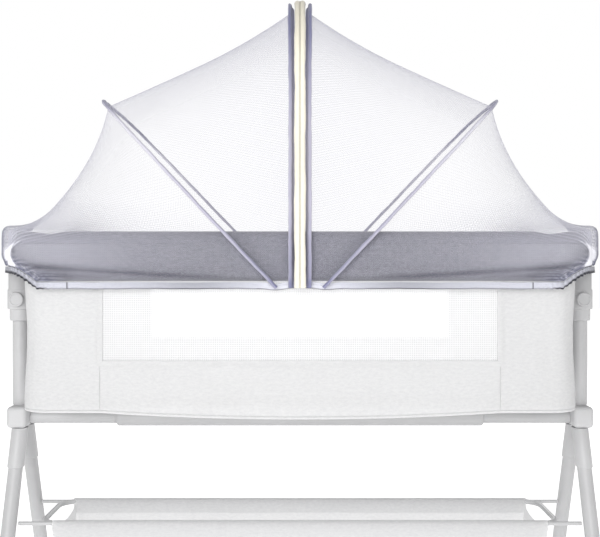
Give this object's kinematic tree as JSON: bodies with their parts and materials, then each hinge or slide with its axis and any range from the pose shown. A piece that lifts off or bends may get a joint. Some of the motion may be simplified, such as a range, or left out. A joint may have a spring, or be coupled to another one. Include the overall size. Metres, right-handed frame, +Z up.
{
  "type": "mosquito net on bedside cradle",
  "caption": "Tent-shaped mosquito net with fan-out hoops, a zip and an elastic hem, stretched over the padded rail of a bedside cradle on splayed legs.",
  "frame": {"origin": "centre of the bounding box's base, on the floor under the middle of the cradle", "axes": "+X along the cradle to the right as seen from the zip's front end, +Y away from the viewer, +Z up"},
  "size_m": [1.0764, 0.5478, 1.1529],
  "materials": {
    "net": "sheer knitted polyester net, white with a lavender cast",
    "hoop_binding": "folded woven tape, lavender grey",
    "zip": "cream woven zip tape with a nylon coil",
    "hem_tape": "white woven hem tape, gathered over elastic at the ends",
    "rail_padding": "mid grey heather cloth over padding",
    "cradle_cloth": "pale grey heather cloth",
    "window_mesh": "pale knitted mesh",
    "base_board": "cloth covered board",
    "moulded_plastic": "pale grey moulded plastic",
    "coated_tube": "pale grey powder coat",
    "rubber_foot": "grey moulded rubber"
  },
  "bodies": {
    "root": {"base_board": "base_board", "basket_bar_back": "coated_tube", "basket_bar_front": "coated_tube", "basket_floor": "cradle_cloth", "basket_loop_left": "coated_tube", "basket_loop_right": "coated_tube", "basket_wall_back": "cradle_cloth", "basket_wall_front": "cradle_cloth", "basket_wall_left": "cradle_cloth", "basket_wall_right": "cradle_cloth", "binding_centre_left": "hoop_binding", "binding_centre_right": "hoop_binding", "binding_side_left": "hoop_binding", "binding_side_right": "hoop_binding", "body_back_band": "cradle_cloth", "body_end_left": "cradle_cloth", "body_end_right": "cradle_cloth", "body_front_band": "cradle_cloth", "cross_tube": "coated_tube", "foot_back_left": "rubber_foot", "foot_back_right": "rubber_foot", "foot_front_left": "rubber_foot", "foot_front_right": "rubber_foot", "hem_elastic_left": "hem_tape", "hem_elastic_right": "hem_tape", "hem_tape_back": "hem_tape", "hem_tape_front": "hem_tape", "leg_back_left": "coated_tube", "leg_back_right": "coated_tube", "leg_bracket_left": "moulded_plastic", "leg_bracket_right": "moulded_plastic", "leg_button_left": "moulded_plastic", "leg_button_right": "moulded_plastic", "leg_front_left": "coated_tube", "leg_front_right": "coated_tube", "leg_hub_left": "moulded_plastic", "leg_hub_right": "moulded_plastic", "leg_post_left": "coated_tube", "leg_post_right": "coated_tube", "net_end_left": "net", "net_end_right": "net", "net_upper_left": "net", "net_upper_right": "net", "rail_back": "rail_padding", "rail_front": "rail_padding", "rail_left": "rail_padding", "rail_right": "rail_padding", "window_back": "window_mesh", "window_front": "window_mesh", "zip_coil": "zip", "zip_tape_left": "zip", "zip_tape_right": "zip"}
  },
  "joints": []
}
